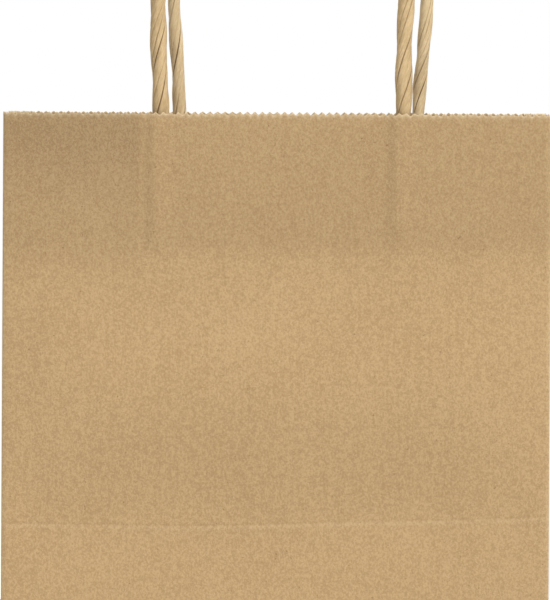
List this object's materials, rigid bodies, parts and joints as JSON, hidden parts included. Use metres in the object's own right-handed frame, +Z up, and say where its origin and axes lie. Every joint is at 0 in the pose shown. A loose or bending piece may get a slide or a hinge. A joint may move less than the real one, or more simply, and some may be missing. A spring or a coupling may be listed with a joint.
{
  "type": "paper gift bag",
  "caption": "Open kraft paper gift bag with two twisted-cord handles, folding side gussets, saw-tooth mouth and a flat folded base.",
  "frame": {"origin": "centre of the base, on the surface that the bag stands on", "axes": "+X across the front face, to the right when facing it; +Y from the front face to the back face; +Z up"},
  "size_m": [0.21, 0.1088, 0.3807],
  "materials": {
    "kraft_paper": "uncoated brown kraft, fine fibre grain",
    "patch_paper": "uncoated brown kraft strip, glued",
    "twisted_cord": "twisted kraft paper cord, matt with soft creases"
  },
  "bodies": {
    "front_face": {"front_panel": "kraft_paper", "front_patch_base": "patch_paper", "front_patch_cover": "patch_paper", "front_handle_ends": "twisted_cord", "base_flap_front": "kraft_paper", "base_flap_back": "kraft_paper", "left_base_tuck": "kraft_paper", "right_base_tuck": "kraft_paper"},
    "left_side_front": {"left_gusset_front": "kraft_paper", "left_base_triangle_front": "kraft_paper"},
    "left_side_back": {"left_gusset_back": "kraft_paper", "left_base_triangle_back": "kraft_paper"},
    "right_side_front": {"right_gusset_front": "kraft_paper", "right_base_triangle_front": "kraft_paper"},
    "right_side_back": {"right_gusset_back": "kraft_paper", "right_base_triangle_back": "kraft_paper"},
    "back_face": {"back_panel": "kraft_paper", "side_seam_flap": "kraft_paper", "back_patch_base": "patch_paper", "back_patch_cover": "patch_paper", "back_handle_ends": "twisted_cord"},
    "front_handle": {"front_handle_loop": "twisted_cord"},
    "back_handle": {"back_handle_loop": "twisted_cord"}
  },
  "joints": [
    {"name": "gusset_fold", "type": "hinge", "parent": "front_face", "child": "left_side_front", "pos_m": [-0.105, -0.05416, 0.134], "axis": [0, 0, -1], "range_deg": [0, 70], "deforming": ["base_flap_front", "base_flap_back", "left_base_tuck", "right_base_tuck", "left_base_triangle_front", "left_base_triangle_back", "right_base_triangle_front", "right_base_triangle_back"]},
    {"name": "left_centre_crease", "type": "hinge", "parent": "left_side_front", "child": "left_side_back", "pos_m": [-0.09545, 0, 0.134], "axis": [0, 0, 1], "range_deg": [0, 140]},
    {"name": "back_left_corner", "type": "hinge", "parent": "left_side_back", "child": "back_face", "pos_m": [-0.105, 0.05416, 0.134], "axis": [0, 0, -1], "range_deg": [0, 70]},
    {"name": "right_front_corner", "type": "hinge", "parent": "front_face", "child": "right_side_front", "pos_m": [0.105, -0.05416, 0.134], "axis": [0, 0, 1], "range_deg": [0, 70]},
    {"name": "right_centre_crease", "type": "hinge", "parent": "right_side_front", "child": "right_side_back", "pos_m": [0.09545, 0, 0.134], "axis": [0, 0, -1], "range_deg": [0, 140]},
    {"name": "front_handle_swing", "type": "hinge", "parent": "front_face", "child": "front_handle", "pos_m": [0.0019, -0.05136, 0.2715], "axis": [1, 0, 0], "range_deg": [0, 90]},
    {"name": "back_handle_swing", "type": "hinge", "parent": "back_face", "child": "back_handle", "pos_m": [0.0085, 0.05136, 0.2715], "axis": [-1, 0, 0], "range_deg": [0, 90]}
  ],
  "couplings": [
    {"joint": "left_centre_crease", "follows": "gusset_fold", "ratio": 2},
    {"joint": "back_left_corner", "follows": "gusset_fold", "ratio": 1},
    {"joint": "right_front_corner", "follows": "gusset_fold", "ratio": 1},
    {"joint": "right_centre_crease", "follows": "gusset_fold", "ratio": 2}
  ]
}
